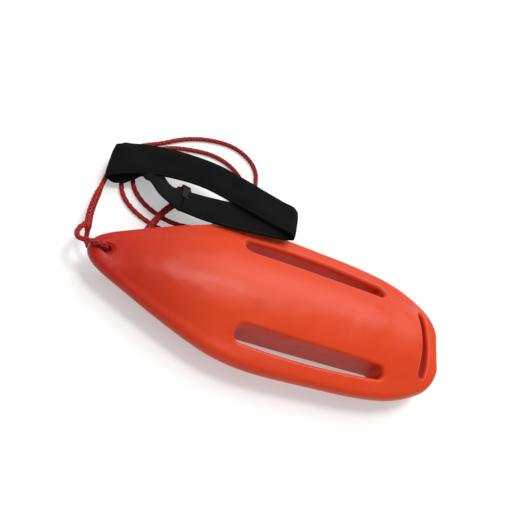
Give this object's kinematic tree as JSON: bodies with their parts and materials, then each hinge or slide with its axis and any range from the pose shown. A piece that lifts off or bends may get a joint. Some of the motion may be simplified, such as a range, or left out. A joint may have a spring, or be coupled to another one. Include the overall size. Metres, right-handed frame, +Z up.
{
  "type": "rescue can buoy",
  "caption": "Torpedo-shaped moulded rescue float with handle slots, a tow line spliced through its bow and a padded shoulder strap.",
  "frame": {"origin": "middle of the flat on the hull's underside that it rests on, at the middle of its length", "axes": "+X from the bow to the stern handle, +Y to the side where the line lies, +Z up"},
  "size_m": [0.718, 0.4982, 0.1032],
  "materials": {
    "hull_plastic": "satin",
    "foam": "matte",
    "plug_plastic": "satin",
    "rope": "matte",
    "sleeve_cloth": "matte",
    "webbing": "matte",
    "tape_cloth": "matte",
    "thread": "matte"
  },
  "bodies": {
    "hull": {"hull_shell": "hull_plastic", "foam_core": "foam", "fill_plug": "plug_plastic"},
    "tow_line": {"bow_eye": "rope", "bow_splice": "rope", "line_coil": "rope", "strap_splice": "rope", "strap_eye": "rope"},
    "harness": {"strap_sleeve": "sleeve_cloth", "strap_webbing": "webbing", "seam_tape": "tape_cloth", "line_tab": "webbing", "tab_stitching": "thread"}
  },
  "joints": [
    {"name": "line_swing", "type": "hinge", "parent": "hull", "child": "tow_line", "pos_m": [-0.32, 0, 0.05], "axis": [0, 0, 1], "range_deg": [0, 90]},
    {"name": "harness_lift", "type": "hinge", "parent": "tow_line", "child": "harness", "pos_m": [-0.1952, 0.20445, 0.009], "axis": [-0.9888, 0.149, 0], "range_deg": [0, 20]}
  ]
}
